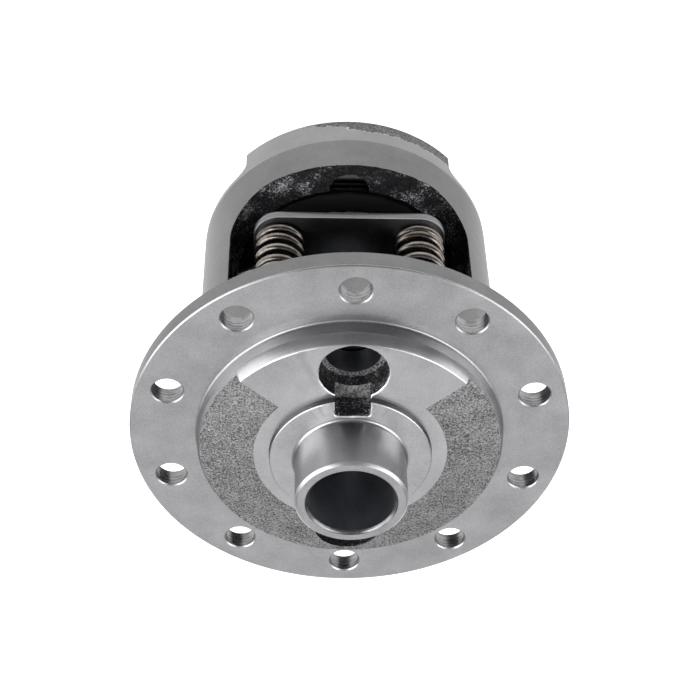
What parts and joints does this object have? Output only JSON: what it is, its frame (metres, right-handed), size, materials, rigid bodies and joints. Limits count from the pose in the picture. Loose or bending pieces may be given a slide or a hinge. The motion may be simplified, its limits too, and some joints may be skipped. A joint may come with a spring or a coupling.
{
  "type": "limited-slip differential carrier",
  "caption": "Clutch-type limited-slip differential: flanged one-piece case with bearing journals, bevel gears on a cross pin, clutch packs and coil preload springs.",
  "frame": {"origin": "centre of the rear journal's end face, on the axle axis, which is the lowest point", "axes": "+Z along the axle axis towards the ring-gear flange and its journal; the cross pin lies along X; the two case windows face +Y and -Y"},
  "size_m": [0.165, 0.165, 0.1815],
  "materials": {
    "case_iron": "turned and ground faces, as-cast grainy skin between them, dark inside",
    "gear_steel": "dark oiled gear steel",
    "pin_steel": "ground",
    "spring_steel": "warm grey drawn wire with bright highlights",
    "plate_steel": "dark phosphated steel",
    "friction_lining": "matt carbon lining",
    "hardware_steel": "dark oiled steel"
  },
  "bodies": {
    "carrier": {"case": "case_iron", "clutch_shim_flange_side": "plate_steel", "clutch_shim_rear": "plate_steel", "cross_pin": "pin_steel", "cross_pin_lock_bolt": "hardware_steel", "eared_plate_flange_side_1": "plate_steel", "eared_plate_flange_side_2": "plate_steel", "eared_plate_flange_side_3": "plate_steel", "eared_plate_rear_1": "plate_steel", "eared_plate_rear_2": "plate_steel", "eared_plate_rear_3": "plate_steel", "guide_clip_flange_side_1": "hardware_steel", "guide_clip_flange_side_2": "hardware_steel", "guide_clip_flange_side_3": "hardware_steel", "guide_clip_flange_side_4": "hardware_steel", "guide_clip_rear_1": "hardware_steel", "guide_clip_rear_2": "hardware_steel", "guide_clip_rear_3": "hardware_steel", "guide_clip_rear_4": "hardware_steel", "pinion_washer_1": "hardware_steel", "pinion_washer_2": "hardware_steel", "preload_spring_1": "spring_steel", "preload_spring_2": "spring_steel", "preload_spring_3": "spring_steel", "preload_spring_4": "spring_steel", "spring_plate_flange_side": "plate_steel", "spring_plate_rear": "plate_steel"},
    "side_gear_a": {"friction_disc_flange_side_1": "friction_lining", "friction_disc_flange_side_2": "friction_lining", "friction_disc_flange_side_3": "friction_lining", "side_gear_flange_side": "gear_steel"},
    "side_gear_b": {"friction_disc_rear_1": "friction_lining", "friction_disc_rear_2": "friction_lining", "friction_disc_rear_3": "friction_lining", "side_gear_rear": "gear_steel"},
    "pinion_1": {"pinion_gear_1": "gear_steel"},
    "pinion_2": {"pinion_gear_2": "gear_steel"}
  },
  "joints": [
    {"name": "side_gear_a_spin", "type": "hinge", "parent": "carrier", "child": "side_gear_a", "pos_m": [0, 0, 0.089], "axis": [0, 0, 1], "continuous": true},
    {"name": "side_gear_b_spin", "type": "hinge", "parent": "carrier", "child": "side_gear_b", "pos_m": [0, 0, 0.089], "axis": [0, 0, 1], "continuous": true},
    {"name": "pinion_1_spin", "type": "hinge", "parent": "carrier", "child": "pinion_1", "pos_m": [0, 0, 0.089], "axis": [1, 0, 0], "continuous": true},
    {"name": "pinion_2_spin", "type": "hinge", "parent": "carrier", "child": "pinion_2", "pos_m": [0, 0, 0.089], "axis": [-1, 0, 0], "continuous": true}
  ],
  "couplings": [
    {"joint": "side_gear_b_spin", "follows": "side_gear_a_spin", "ratio": -1},
    {"joint": "pinion_1_spin", "follows": "side_gear_a_spin", "ratio": -1.5},
    {"joint": "pinion_2_spin", "follows": "side_gear_a_spin", "ratio": -1.5}
  ]
}
